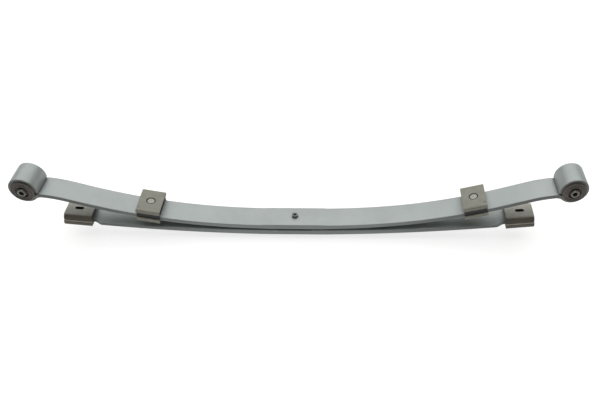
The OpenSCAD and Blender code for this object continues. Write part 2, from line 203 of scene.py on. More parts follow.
def roundCutter(radius, low, high, count=96):
    return lathe("cutter", [(nearAxis, low), (radius, low), (radius, high), (nearAxis, high)],
                 count=count)


def arc(cx, cy, radius, first, last, count):
    return [(cx + radius * math.cos(math.radians(first + (last - first) * i / count)),
             cy + radius * math.sin(math.radians(first + (last - first) * i / count)))
            for i in range(count + 1)]


def roundedBox(x0, x1, y0, y1, radius, count=4):
    return (arc(x1 - radius, y1 - radius, radius, 0, 90, count)
            + arc(x0 + radius, y1 - radius, radius, 90, 180, count)
            + arc(x0 + radius, y0 + radius, radius, 180, 270, count)
            + arc(x1 - radius, y0 + radius, radius, 270, 360, count))


def place(obj, matrix):
    obj.data.transform(matrix)
    obj.data.update()
    return obj


def addFaceUp(obj, values):
    obj.data.attributes.new("faceUp", "FLOAT", "CORNER").data.foreach_set("value", values)
    return obj


def markUpward(obj, low=0.35, high=0.85):
    # 0 where the smoothed surface stands upright, 1 where it looks up
    return addFaceUp(obj, [clamp((n.vector.z - low) / (high - low), 0, 1)
                           for n in obj.data.corner_normals])


def markEdges(obj, flat=0.9, run=0.45):
    # the same attribute for a leaf: 0 on the bar's two long edges, which take the painted shade, 1
    # on its faces
    return addFaceUp(obj, [clamp((flat - abs(n.vector.y)) / run, 0, 1)
                           for n in obj.data.corner_normals])


def finishPiece(obj, material, nodes, body=None):
    obj.data.materials.clear()
    obj.data.materials.append(material)
    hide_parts(*nodes)
    if body:
        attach(obj, body)
    return obj


# Materials
finishBasics = {
    "toneStops": (0.32, 0.5, 0.68), "driftRange": (0.3, 0.7),
    "driftDetail": 4.0, "driftRoughness": 0.55,
    "grainDetail": 3.0, "grainRoughness": 0.6, "grainStrength": 0.4,
    "speckRange": (0.62, 0.74), "waveDetail": 2.0, "waveStrength": 0.3,
}
mixFirst, mixSecond, mixResult = 6, 7, 2  # the colour sockets of a mix node


def makeFinish(name, look):
    # colour drifts between three tones; a fine grain and a coarse wave give the bump
    material = bpy.data.materials.new(name)
    material.use_nodes = True
    tree = material.node_tree
    tree.nodes.clear()
    basics = finishBasics
    where = addNode(tree, "ShaderNodeTexCoord").outputs["Object"]
    drift = addNode(tree, "ShaderNodeTexNoise", {
        "Vector": where, "Scale": 1 / (look["driftSize"] * mm),
        "Detail": basics["driftDetail"], "Roughness": basics["driftRoughness"]})
    tones = addNode(tree, "ShaderNodeValToRGB", {"Fac": drift.outputs["Fac"]})
    ramp = tones.color_ramp
    ramp.elements[0].position, _, ramp.elements[1].position = basics["toneStops"]
    ramp.elements[0].color = hexColour(look["tones"][0])
    ramp.elements[1].color = hexColour(look["tones"][2])
    ramp.elements.new(basics["toneStops"][1]).color = hexColour(look["tones"][1])
    grain = addNode(tree, "ShaderNodeTexNoise", {
        "Vector": where, "Scale": 1 / (look["grainSize"] * mm),
        "Detail": basics["grainDetail"], "Roughness": basics["grainRoughness"]})
    speck = addNode(tree, "ShaderNodeMapRange", {
        "Value": grain.outputs["Fac"], "From Min": basics["speckRange"][0],
        "From Max": basics["speckRange"][1], "To Min": 0.0, "To Max": look["speckShare"]})
    paint = addNode(tree, "ShaderNodeMix", {
        "Factor": speck.outputs["Result"], mixFirst: tones.outputs["Color"],
        mixSecond: hexColour(look["speckTone"])}, data_type="RGBA").outputs[mixResult]
    if "sideTone" in look:
        # the faceUp attribute is 1 where the full finish shows and 0 on the sides, which take the
        # side tone; on the leaves and shoes the side tone is painted shade
        faceUp = addNode(tree, "ShaderNodeAttribute", attribute_name="faceUp",
                         attribute_type="GEOMETRY")
        side = hexColour(look["sideTone"])
        if "endShadeTone" in look:
            # the sides turn to the darker end shade between two distances from the middle, in
            # metres
            across = addNode(tree, "ShaderNodeSeparateXYZ", {0: where}).outputs["X"]
            distance = addNode(tree, "ShaderNodeMath", {0: across}, operation="ABSOLUTE")
            share = addNode(tree, "ShaderNodeMapRange", {
                "Value": distance.outputs["Value"],
                "From Min": look["endFrom"][0], "From Max": look["endFrom"][1]})
            side = addNode(tree, "ShaderNodeMix", {
                "Factor": share.outputs["Result"], mixFirst: side,
                mixSecond: hexColour(look["endShadeTone"])},
                data_type="RGBA").outputs[mixResult]
        paint = addNode(tree, "ShaderNodeMix", {
            "Factor": faceUp.outputs["Fac"], mixFirst: side, mixSecond: paint},
            data_type="RGBA").outputs[mixResult]
    rough = addNode(tree, "ShaderNodeMapRange", {
        "Value": drift.outputs["Fac"], "From Min": basics["driftRange"][0],
        "From Max": basics["driftRange"][1],
        "To Min": look["roughness"][0], "To Max": look["roughness"][1]})
    wave = addNode(tree, "ShaderNodeTexNoise", {
        "Vector": where, "Scale": 1 / (look["waveSize"] * mm), "Detail": basics["waveDetail"]})
    coarse = addNode(tree, "ShaderNodeBump", {
        "Height": wave.outputs["Fac"], "Strength": basics["waveStrength"],
        "Distance": look["waveHeight"] * mm})
    fine = addNode(tree, "ShaderNodeBump", {
        "Height": grain.outputs["Fac"], "Strength": basics["grainStrength"],
        "Distance": look["grainHeight"] * mm, "Normal": coarse.outputs["Normal"]})
    shader = addNode(tree, "ShaderNodeBsdfPrincipled", {
        "Base Color": paint, "Roughness": rough.outputs["Result"],
        "Normal": fine.outputs["Normal"], "Metallic": look.get("metallic", 0.0)})
    if "ior" in look:
        shader.inputs["IOR"].default_value = look["ior"]
    addNode(tree, "ShaderNodeOutputMaterial", {"Surface": shader.outputs["BSDF"]})
    return material


# Spring steel, shot-peened and sprayed silver-grey: even satin with a faint pebble
leafPaint = makeFinish("paintedSpringSteel", {
    "tones": ("#858b89", "#8c9290", "#939896"), "driftSize": 85, "grainSize": 0.9,
    "speckTone": "#7e8482", "speckShare": 0.35, "roughness": (0.40, 0.52), "metallic": 0.25,
    "waveSize": 9, "waveHeight": 0.25, "grainHeight": 0.06,
    # painted shade: the bar's long edges take a darker tone, darker still towards the eyes
    "sideTone": "#787d7b", "endShadeTone": "#565a58", "endFrom": (0.16, 0.46)})
# Sheared end of the rolled eye: a dark steel tone, painted shade on the eye's side faces and on
# the scroll's cut end
eyeEdgeShade = makeFinish("paintedEyeEdgeShade", {
    "tones": ("#62625d", "#6b6b66", "#75756f"), "driftSize": 12, "grainSize": 0.8,
    "speckTone": "#45443f", "speckShare": 0.5, "roughness": (0.5, 0.65), "metallic": 0.3,
    "waveSize": 4, "waveHeight": 0.12, "grainHeight": 0.06})
# Phosphated bolt steel: dark grey, dry and slightly mottled
boltSteel = makeFinish("phosphatedSteel", {
    "tones": ("#4c4f50", "#5d6061", "#6c6f70"), "driftSize": 6, "grainSize": 0.5,
    "speckTone": "#3c3e3f", "speckShare": 0.4, "roughness": (0.38, 0.55), "metallic": 0.8,
    "waveSize": 3, "waveHeight": 0.08, "grainHeight": 0.03})
# Spacer plate: mild steel left dark between the leaves
spacerSteel = makeFinish("darkMildSteel", {
    "tones": ("#2f3132", "#3a3c3d", "#454748"), "driftSize": 18, "grainSize": 0.8,
    "speckTone": "#262829", "speckShare": 0.5, "roughness": (0.5, 0.65), "metallic": 0.4,
    "waveSize": 5, "waveHeight": 0.1, "grainHeight": 0.05})
# Drawn steel tube around the rubber: dull grey-brown edge
shellSteel = makeFinish("drawnSteelShell", {
    "tones": ("#3c3a38", "#4a4846", "#575553"), "driftSize": 10, "grainSize": 0.6,
    "speckTone": "#5a4636", "speckShare": 0.3, "roughness": (0.45, 0.6), "metallic": 0.6,
    "waveSize": 4, "waveHeight": 0.05, "grainHeight": 0.03})
# Moulded natural rubber: matt, brown-black, with a dusty bloom on the outside's upright faces;
# upward faces, the flange's rim among them, keep the dark tone as painted shade
bushRubber = makeFinish("mouldedRubber", {
    "tones": ("#1c1b1a", "#232120", "#2a2826"), "driftSize": 7, "grainSize": 0.7,
    "speckTone": "#3a3734", "speckShare": 0.25, "roughness": (0.62, 0.8), "ior": 1.52,
    "sideTone": "#57514b", "waveSize": 4, "waveHeight": 0.12, "grainHeight": 0.05})
# Zinc-plated inner sleeve: the one bright metal on the part
sleeveZinc = makeFinish("zincPlatedSleeve", {
    "tones": ("#5b5a56", "#66655f", "#716f69"), "driftSize": 5, "grainSize": 0.4,
    "speckTone": "#4f4d49", "speckShare": 0.3, "roughness": (0.34, 0.48), "metallic": 0.6,
    "waveSize": 2, "waveHeight": 0.04, "grainHeight": 0.02})
# Pressed clip plate under matt olive-grey primer: flat, dry, with a fine orange peel
clipPrimer = makeFinish("primedPressedSteel", {
    "tones": ("#6c6b60", "#737267", "#79786e"), "driftSize": 14, "grainSize": 0.7,
    "speckTone": "#5c5b51", "speckShare": 0.45, "roughness": (0.58, 0.7), "ior": 1.5,
    "waveSize": 2.2, "waveHeight": 0.08, "grainHeight": 0.05})
# Clip lining: soft black rubber
clipRubber = makeFinish("blackLinerRubber", {
    "tones": ("#191918", "#20201f", "#292827"), "driftSize": 9, "grainSize": 0.8,
    "speckTone": "#353432", "speckShare": 0.25, "roughness": (0.6, 0.78), "ior": 1.52,
    "waveSize": 5, "waveHeight": 0.2, "grainHeight": 0.05})
# Dowel head: turned mild steel, pale, with a dry machined face
dowelSteel = makeFinish("turnedDowelSteel", {
    "tones": ("#7f7f78", "#898981", "#92918a"), "driftSize": 5, "grainSize": 0.5,
    "speckTone": "#86867f", "speckShare": 0.4, "roughness": (0.45, 0.6), "metallic": 0.3,
    "waveSize": 2, "waveHeight": 0.04, "grainHeight": 0.04})
# Injection-moulded shoe in olive-grey nylon: spark-textured, slightly waxy; the dome's rounded
# front and the sides turn dark brown, painted shade
shoeNylon = makeFinish("mouldedNylon", {
    "tones": ("#9c9a90", "#a5a398", "#adaba1"), "driftSize": 20, "grainSize": 0.8,
    "speckTone": "#8b887c", "speckShare": 0.4, "roughness": (0.48, 0.62), "ior": 1.53,
    "sideTone": "#484136", "waveSize": 6, "waveHeight": 0.15, "grainHeight": 0.07})
print("materials made")

# Leaves
mainLeaf = {
    "width": 60.0, "edgeRadius": 2.4,
    "seatThickness": 13.0, "rootThickness": 11.3, "tipThickness": 9.8,
    "seatHalf": 64.0, "seatStep": 1.0, "ramp": 12.0,
    "bends": (48.0, 223.0, 475.0), "bendRadii": (1500.0, 1130.0),
    "reach": {-1: 584.0, 1: 604.0},
    "tipBend": 11.0, "tipBendRadius": 250.0,  # degrees; the end bends back before the eye
    "eyeRadius": 30.5, "eyeLift": 5.0, "dipRadius": 25.0, "scrollGap": 2.0,
    "seatStations": (0, 16, 32, 48, 56, 61), "dipClear": 3.0,
    "rampSteps": 8, "armSteps": 90, "dipSteps": 10, "scrollSteps": 84,
}
secondLeaf = {
    "width": 60.0, "edgeRadius": 1.6, "top": -16.5,
    "seatThickness": 13.0, "tipThickness": 7.5,
    "bendStart": 41.0, "bendRadius": 4000.0, "taperStart": 70.0, "taperShort": 35.0,
    "shoeAt": {-1: 496.0, 1: 512.0}, "tipWidth": 42.0, "tipRun": 24.0,
    "neckBack": 33.0, "neckRun": 20.0, "seatStations": (0, 20, 41), "armSteps": 50,
}


def mainRise(d):
    start, mid, end = mainLeaf["bends"]
    inner, outer = mainLeaf["bendRadii"]
    a, b, c = clamp(d - start, 0, mid - start), clamp(d - mid, 0, end - mid), max(d - end, 0)
    turn = (mid - start) / inner
    return a * a / (2 * inner) + turn * b + b * b / (2 * outer) + (turn + (end - mid) / outer) * c


def mainSlope(d):
    start, mid, end = mainLeaf["bends"]
    inner, outer = mainLeaf["bendRadii"]
    return clamp(d - start, 0, mid - start) / inner + clamp(d - mid, 0, end - mid) / outer


def mainTop(d):
    lifted = clamp((d - mainLeaf["seatHalf"]) / mainLeaf["ramp"], 0, 1)
    return (mainRise(d) - mainLeaf["seatStep"]) * lifted


def mainThickness(d):
    root, tip = mainLeaf["rootThickness"], mainLeaf["tipThickness"]
    first = mainLeaf["seatHalf"] + mainLeaf["ramp"]
    return root + (tip - root) * clamp((d - first) / (mainLeaf["bends"][2] - first), 0, 1)


def eyeFrame(side):
    # where the leaf's end bends back, where it dips into the eye, and the eye's place and tilt
    half, lift, dip = mainLeaf["reach"][side], mainLeaf["eyeLift"], mainLeaf["dipRadius"]
    slope = mainSlope(half)
    tilt = math.atan(slope) - math.radians(mainLeaf["tipBend"])
    middle = mainLeaf["eyeRadius"] - mainLeaf["tipThickness"] / 2
    drop = lift + mainLeaf["tipThickness"] / 2
    run = math.sqrt((2 * dip + middle + drop) * (middle - drop))
    dipAt = half - run * math.cos(tilt) + lift * math.sin(tilt)
    backAt = dipAt - (slope - math.tan(tilt)) * mainLeaf["tipBendRadius"]
    height = armTop(dipAt, backAt) + run * math.sin(tilt) + lift * math.cos(tilt)
    return {"tilt": tilt, "middle": middle, "drop": drop, "run": run, "dipAt": dipAt,
            "backAt": backAt, "centre": (half, height)}


def armTop(d, backAt):
    return mainTop(d) - max(d - backAt, 0) ** 2 / (2 * mainLeaf["tipBendRadius"])


def mainPath(side):
    # distance, height and thickness along the leaf's middle, from the bolt out and round the eye
    seatEnd = mainLeaf["seatHalf"] - 1
    rootAt = mainLeaf["seatHalf"] + mainLeaf["ramp"]
    full = mainLeaf["seatThickness"]
    rows = [(d, -full / 2, full) for d in (*mainLeaf["seatStations"], seatEnd)]
    outTop = mainTop(rootAt)
    outLow = outTop - mainThickness(rootAt) * math.sqrt(1 + mainSlope(rootAt) ** 2)
    for f in spread(0, 1, mainLeaf["rampSteps"])[1:-1]:
        ease = smoothStep(f)
        high, low = outTop * ease, -full + (outLow + full) * ease
        rows.append((seatEnd + (rootAt - seatEnd) * f, (high + low) / 2, high - low))
    at = eyeFrame(side)
    backAt, tilt, dip = at["backAt"], at["tilt"], mainLeaf["dipRadius"]
    for d in spread(rootAt, at["dipAt"] - mainLeaf["dipClear"], mainLeaf["armSteps"]):
        t = mainThickness(d)
        slope = mainSlope(d) - max(d - backAt, 0) / mainLeaf["tipBendRadius"]
        square = math.sqrt(1 + slope * slope)
        # the middle lies half a thickness square to the top surface
        rows.append((d + t / 2 * slope / square, armTop(d, backAt) - t / 2 / square, t))
    lean = math.degrees(math.atan2(at["drop"] + dip, at["run"]))
    closing = math.degrees(math.asin(
        (mainLeaf["scrollGap"] - mainLeaf["eyeLift"]) / mainLeaf["eyeRadius"]))
    local = arc(-at["run"], -at["drop"] - dip, dip, 90, lean, mainLeaf["dipSteps"])
    local += arc(0, 0, at["middle"], 180 + lean, 540 - closing, mainLeaf["scrollSteps"])[1:]
    ex, ez = at["centre"]
    for a, b in local:
        rows.append((ex + a * math.cos(tilt) - b * math.sin(tilt),
                     ez + a * math.sin(tilt) + b * math.cos(tilt), mainLeaf["tipThickness"]))
    return [(side * d, z, t, 1.0) for d, z, t in rows]


def secondRise(d):
    return max(d - secondLeaf["bendStart"], 0) ** 2 / (2 * secondLeaf["bendRadius"])


def secondSlope(d):
    return max(d - secondLeaf["bendStart"], 0) / secondLeaf["bendRadius"]


def secondThickness(d):
    root, tip = secondLeaf["seatThickness"], secondLeaf["tipThickness"]
    start = secondLeaf["taperStart"]
    run = secondLeaf["shoeAt"][-1] - secondLeaf["taperShort"] - start
    return root + (tip - root) * clamp((d - start) / run, 0, 1)


def secondLow(d):
    depth = secondThickness(d) * math.sqrt(1 + secondSlope(d) ** 2)
    return secondLeaf["top"] + secondRise(d) - depth


def secondPath(side):
    half, neckRun = secondLeaf["shoeAt"][side], secondLeaf["neckRun"]
    tip, neck = half + secondLeaf["tipRun"], half - secondLeaf["neckBack"]
    narrow = secondLeaf["tipWidth"] / secondLeaf["width"]
    stations = [*secondLeaf["seatStations"]]
    stations += spread(secondLeaf["bendStart"], neck - neckRun - 6, secondLeaf["armSteps"])[1:]
    stations += spread(neck - neckRun - 2, neck + 2, 8)
    stations += [neck + 8, half - 10, half + 10, tip]
    rows = []
    for d in stations:
        high = secondLeaf["top"] + secondRise(d)
        narrowed = smoothStep(clamp((d - neck + neckRun) / neckRun, 0, 1))
        rows.append((side * d, (high + secondLow(d)) / 2, secondThickness(d),
                     1 - (1 - narrow) * narrowed))
    return rows


def makeStripTree():
    # sweeps a round-cornered bar along a path; each path point has its own thickness and breadth
    tree = bpy.data.node_groups.new("stripAlongPath", "GeometryNodeTree")
    for label, kind in (("Path", "Geometry"), ("Width", "Float"), ("Thickness", "Float"),
                        ("Edge Radius", "Float"), ("Across", "Vector"), ("Finish", "Material")):
        tree.interface.new_socket(label, in_out="INPUT", socket_type="NodeSocket" + kind)
    tree.interface.new_socket("Strip", in_out="OUTPUT", socket_type="NodeSocketGeometry")
    start = addNode(tree, "NodeGroupInput").outputs
    curve = addNode(tree, "GeometryNodeMeshToCurve", {"Mesh": start["Path"]})
    upright = addNode(tree, "GeometryNodeSetCurveNormal", {
        "Curve": curve.outputs["Curve"], "Normal": start["Across"]}, mode="FREE")
    section = addNode(tree, "GeometryNodeCurvePrimitiveQuadrilateral", {
        "Width": start["Width"], "Height": start["Thickness"]})
    softened = addNode(tree, "GeometryNodeFilletCurve", {
        "Curve": section.outputs["Curve"], "Radius": start["Edge Radius"], "Count": 4},
        mode="POLY")
    swept = addNode(tree, "GeometryNodeCurveToMesh", {
        "Curve": upright.outputs["Curve"], "Profile Curve": softened.outputs["Curve"],
        "Fill Caps": True})
    spine, thick, broad = [
        addNode(tree, "GeometryNodeInputNamedAttribute", {"Name": label},
                data_type=kind).outputs["Attribute"]
        for label, kind in (("spine", "FLOAT_VECTOR"), ("thick", "FLOAT"), ("broad", "FLOAT"))]
    position = addNode(tree, "GeometryNodeInputPosition").outputs["Position"]
    across = start["Across"]

    def vector(operation, first, second, result="Vector"):
        key = "Scale" if operation == "SCALE" else 1
        return addNode(tree, "ShaderNodeVectorMath", {0: first, key: second},
                       operation=operation).outputs[result]

    # each section point is split into its part across the bar and its part through it
    offset = vector("SUBTRACT", position, spine)
    side = vector("SCALE", across, vector("DOT_PRODUCT", offset, across, "Value"))
    through = vector("SUBTRACT", offset, side)
    both = vector("ADD", vector("SCALE", side, broad), vector("SCALE", through, thick))
    shaped = addNode(tree, "GeometryNodeSetPosition", {
        "Geometry": swept.outputs["Mesh"], "Position": vector("ADD", both, spine)})
    real = addNode(tree, "GeometryNodeRealizeInstances", {"Geometry": shaped.outputs["Geometry"]})
    coated = addNode(tree, "GeometryNodeSetMaterial", {
        "Geometry": real.outputs["Geometry"], "Material": start["Finish"]})
    addNode(tree, "NodeGroupOutput", {"Strip": coated.outputs["Geometry"]})
    return tree


stripTree = makeStripTree()


def makeStrip(name, points, thickness, breadths, width, nominal, edgeRadius, across, material):
    mesh = bpy.data.meshes.new(name)
    mesh.from_pydata(points, [(i, i + 1) for i in range(len(points) - 1)], [])
    mesh.attributes.new("spine", "FLOAT_VECTOR", "POINT").data.foreach_set(
        "vector", [c for p in points for c in p])
    mesh.attributes.new("thick", "FLOAT", "POINT").data.foreach_set(
        "value", [t / nominal for t in thickness])
    mesh.attributes.new("broad", "FLOAT", "POINT").data.foreach_set("value", breadths)
    obj = newObject(name, mesh)
    modifier = obj.modifiers.new("strip", "NODES")
    modifier.node_group = stripTree
    values = {"Width": width * mm, "Thickness": nominal * mm, "Edge Radius": edgeRadius * mm,
              "Across": across, "Finish": material}
    for item in stripTree.interface.items_tree:
        if item.in_out == "INPUT" and item.name in values:
            modifier[item.identifier] = values[item.name]
    settle(obj)
    for attribute in ("spine", "thick", "broad"):
        if attribute in obj.data.attributes:
            obj.data.attributes.remove(obj.data.attributes[attribute])
    return obj


def makeLeaf(name, rows, sizes):
    points = [(x * mm, 0.0, z * mm) for x, z, _, _ in rows]
    return makeStrip(name, points, [r[2] for r in rows], [r[3] for r in rows], sizes["width"],
                     sizes["seatThickness"], sizes["edgeRadius"], (0.0, 1.0, 0.0), leafPaint)


names = {-1: "front", 1: "rear"}
eyeFinish = {"facesSide": 0.8, "facesAlong": 0.1, "margin": 1.0}  # which faces take the dark eye tone, painted shade
for side in (-1, 1):
    word = names[side]
    leaf = makeLeaf(word + "MainLeaf", mainPath(side), mainLeaf)
    nodes = [f"main_leaf_{word}_arm"] + (["main_leaf_centre"] if side < 0 else [])
    # the long edges' darker side tone is painted shade
    finishPiece(markEdges(leaf), leafPaint, nodes)
    leaf.data.materials.append(eyeEdgeShade)
    eyeAt = Vector((side * mainLeaf["reach"][side], 0, eyeFrame(side)["centre"][1])) * mm
    eyeReach = (mainLeaf["eyeRadius"] + eyeFinish["margin"]) * mm
    # the eye's side faces and the scroll's cut end, where the scroll closes on the leaf, get the
    # dark eye tone: painted shade
    for polygon in leaf.data.polygons:
        gap, sideways = polygon.center - eyeAt, abs(polygon.normal.y)
        # the end caps are the bar's only faces with more than four corners
        scrollEnd = sideways < eyeFinish["facesAlong"] and len(polygon.vertices) > 4
        eyeFace = sideways > eyeFinish["facesSide"] and math.hypot(gap.x, gap.z) < eyeReach
        if scrollEnd or eyeFace:
            polygon.material_index = 1
    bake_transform(leaf)
    leaf = makeLeaf(word + "SecondLeaf", secondPath(side), secondLeaf)
    nodes = [f"second_leaf_{word}_arm"] + (["second_leaf_centre"] if side < 0 else [])
    # the long edges' darker side tone is painted shade
    finishPiece(markEdges(leaf), leafPaint, nodes)
    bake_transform(leaf)
print("leaves made")

# Bushes
bush = {
    "halfWidth": 30.0, "flangeRadius": 25.0, "flangeGap": 1.8, "rubberProud": 5.5,
    "neckRadius": 18.7, "shellInside": 19.15, "shellHalf": 27.0,
    "sleeveRadius": 9.0, "sleeveBore": 5.1, "sleeveProud": 9.0,
    "groove": (9.7, 13.7), "grooveDepth": 5.0,
    "rings": (17.2, 21.0), "ringDepth": 1.2,  # shallow moulded marks
}


def mirrored(rows):
    return rows + [(r, -z) for r, z in reversed(rows)]


def makeBush(side):
    word = names[side]
    eyeAt = Vector((side * mainLeaf["reach"][side], 0, eyeFrame(side)["centre"][1])) * mm
    matrix = Matrix.Translation(eyeAt) @ Matrix.Rotation(math.radians(90), 4, "X")
    edge, rim = bush["halfWidth"] + bush["rubberProud"], bush["flangeRadius"]
    # outer face: collar on the sleeve, deep groove, two shallow moulded rings, rounded flange
    inner, outer = bush["groove"]
    hub, floorAt = bush["sleeveRadius"], edge - bush["grooveDepth"]
    face = [(hub + 0.05, edge - 0.6), (hub + 0.3, edge - 0.3), (inner - 0.1, edge - 0.5),
            (inner + 0.2, floorAt + 0.5), (inner + 0.7, floorAt), (outer - 0.7, floorAt),
            (outer - 0.2, floorAt + 0.5), (outer + 0.1, edge - 0.9), (outer + 0.5, edge - 0.2),
            (outer + 1.2, edge)]
    for r in bush["rings"]:
        low = edge - bush["ringDepth"]
        face += [(r - 1.0, edge), (r - 0.5, low), (r + 0.5, low), (r + 1.0, edge)]
    back, shellEnd = bush["halfWidth"] + bush["flangeGap"], bush["shellHalf"]
    face += [(rim - 2.6, edge - 0.1), (rim - 1.2, edge - 0.5), (rim - 0.4, edge - 1.1),
             (rim, edge - 2.1), (rim, back + 0.5), (rim - 0.5, back + 0.05),
             (bush["neckRadius"], back + 0.05), (bush["neckRadius"], shellEnd + 0.1),
             (bush["shellInside"], shellEnd)]
    # upward rubber faces, the flange's rim among them, keep the dark tone as painted shade beside
    # the eye
    rubber = markUpward(place(lathe(word + "Rubber", mirrored(face)), matrix))
    finishPiece(rubber, bushRubber, [word + "_bush_rubber"], word + "_arm")
    reach, bore = bush["halfWidth"] + bush["sleeveProud"], bush["sleeveBore"]
    sleeve = lathe(word + "Sleeve", mirrored([
        (bore, reach - 0.5), (bore + 0.5, reach), (hub - 0.9, reach), (hub - 0.3, reach - 0.3),
        (hub, reach - 0.9)]))
    finishPiece(place(sleeve, matrix), sleeveZinc, [word + "_bush_sleeve"],
                word + "_sleeve")


for side in (-1, 1):
    makeBush(side)
print("bushes made")

# Clips
clip = {
    "at": {-1: 328.0, 1: 406.0}, "length": 52.0, "halfWidth": 36.2, "plate": 2.6,
    "flange": 9.0, "bendRadius": 3.2, "air": 0.4, "pad": 16.0, "liner": 1.2, "linerHalf": 25.0,
    "windowHalf": 30.3, "windowRadius": 1.2, "head": 8.0, "shank": 5.0, "hole": 10.3,
    "markAt": (21.5, -25.0), "mark": 2.0, "markDepth": 1.1, "lipTop": -4.0,
}
farCut = 40.0  # far enough for a cutter to leave the piece


def onMain(d, side):
    return Matrix.Translation((side * d * mm, 0, mainTop(d) * mm)) @ Matrix.Rotation(
        -side * math.atan(mainSlope(d)), 4, "Y")


def channelPath(halfWidth, top, flangeEnd, radius):
    # the middle line of a plate with both long edges bent towards flangeEnd
    sign = 1 if flangeEnd < top else -1
    path = [(-halfWidth, flangeEnd)]
    corner = arc(-halfWidth + radius, top - sign * radius, radius, 180, 180 - sign * 90, 6)
    path += corner
    other = [(-y, z) for y, z in reversed(corner)]
    return path + other + [(halfWidth, flangeEnd)]


def makeChannel(name, top, flangeEnd):
    plate = clip["plate"]
    path = channelPath(clip["halfWidth"] - plate / 2, top, flangeEnd,
                       clip["bendRadius"] - plate / 2)
    points = [(0.0, y * mm, z * mm) for y, z in path]
    return makeStrip(name, points, [plate] * len(path), [1.0] * len(path), clip["length"],
                     plate, 0.5, (1.0, 0.0, 0.0), clipPrimer)


def makeClip(side):
    word, d = names[side], clip["at"][side]
    matrix, arm = onMain(d, side), names[side] + "_arm"
    plate, air, t = clip["plate"], clip["air"], mainThickness(d)
    top = air + clip["pad"] + plate
    upper = makeChannel(word + "ClipUpperPlate", top - plate / 2, top - clip["flange"])
    cutAway(upper, roundCutter(clip["hole"], -1, farCut))
    punch = roundCutter(clip["mark"], top - clip["markDepth"], farCut, count=32)
    place(punch, Matrix.Translation((side * clip["markAt"][0] * mm, clip["markAt"][1] * mm, 0)))
    cutAway(upper, punch)
    finishPiece(place(upper, matrix), clipPrimer, [word + "_clip_upper_plate"], arm)
    low = -t - air - clip["liner"]
    lower = makeChannel(word + "ClipLowerPlate", low - plate / 2, clip["lipTop"])
    finishPiece(place(lower, matrix), clipPrimer, [word + "_clip_lower_plate"], arm)
    skin, window = clip["halfWidth"] - plate - 0.05, clip["windowHalf"]
    liner = prism(word + "ClipLiner", roundedBox(-skin, skin, low, clip["pad"] + air, 1.6),
                  -clip["linerHalf"], clip["linerHalf"])
    cutAway(liner, prism("cutter", roundedBox(-window, window, -t - air, air,
                                              clip["windowRadius"]), -farCut, farCut))
    cutAway(liner, roundCutter(clip["head"] + 0.3, 0.2, farCut))
    roundEdges(liner, 0.7, 2)
    finishPiece(place(liner, matrix), clipRubber, [word + "_clip_liner"], arm)
    # dowel: a small centre mark, a chamfered head, a shank down to the lower plate
    r, shank, headTop, foot = clip["head"], clip["shank"], top - 0.5, low - plate + 0.4
    dowel = lathe(word + "ClipDowel", [
        (nearAxis, headTop - 0.35), (1.3, headTop - 0.35), (1.7, headTop), (r - 0.9, headTop),
        (r - 0.25, headTop - 0.25), (r, headTop - 0.9), (r, 0.3), (shank, 0.1),
        (shank, foot + 0.5), (shank - 0.5, foot), (nearAxis, foot)], closed=False, count=72)
    finishPiece(place(dowel, matrix), dowelSteel, [word + "_clip_dowel"], arm)


for side in (-1, 1):
    makeClip(side)
print("clips made")

# End shoes
shoe = {
    "length": 62.0, "footWidth": 66.0, "dome": 12.5, "wall": 3.2, "ledge": 4.0,
    "cornerRadius": 1.2, "slotRadius": 4.5, "slotRun": 11.0, "slotShift": 2.0, "button": 5.6,
    "fit": (0.3, 0.6),  # room beside and above the leaf's tip
}


def onSecondTip(d, side):
    lean = Matrix.Rotation(-side * math.atan(secondSlope(d)), 4, "Y")
    return (Matrix.Translation((side * d * mm, 0, secondLow(d) * mm)) @ lean
            @ Matrix.Rotation(math.radians(90 * side), 4, "Z"))


def shoeOutline(footTop, domeHalf, shoulder):
    # the shoe's end view: a flat foot with a ledge each side of a domed top
    foot, wall, r = shoe["footWidth"] / 2, shoe["wall"], shoe["cornerRadius"]
    base = footTop - 0.5
    return (arc(-foot + r, -wall + r, r, 180, 270, 4)
            + arc(foot - r, -wall + r, r, 270, 360, 4)
            + arc(foot - r, footTop - r, r, 0, 90, 4)
            + [(domeHalf + 0.3, footTop), (domeHalf, footTop + 0.4)]
            + arc(domeHalf - shoulder, base, shoulder, 4, 90, 16)
            + arc(-domeHalf + shoulder, base, shoulder, 90, 176, 16)
            + [(-domeHalf, footTop + 0.4), (-domeHalf - 0.3, footTop)]
            + arc(-foot + r, footTop - r, r, 90, 180, 4))


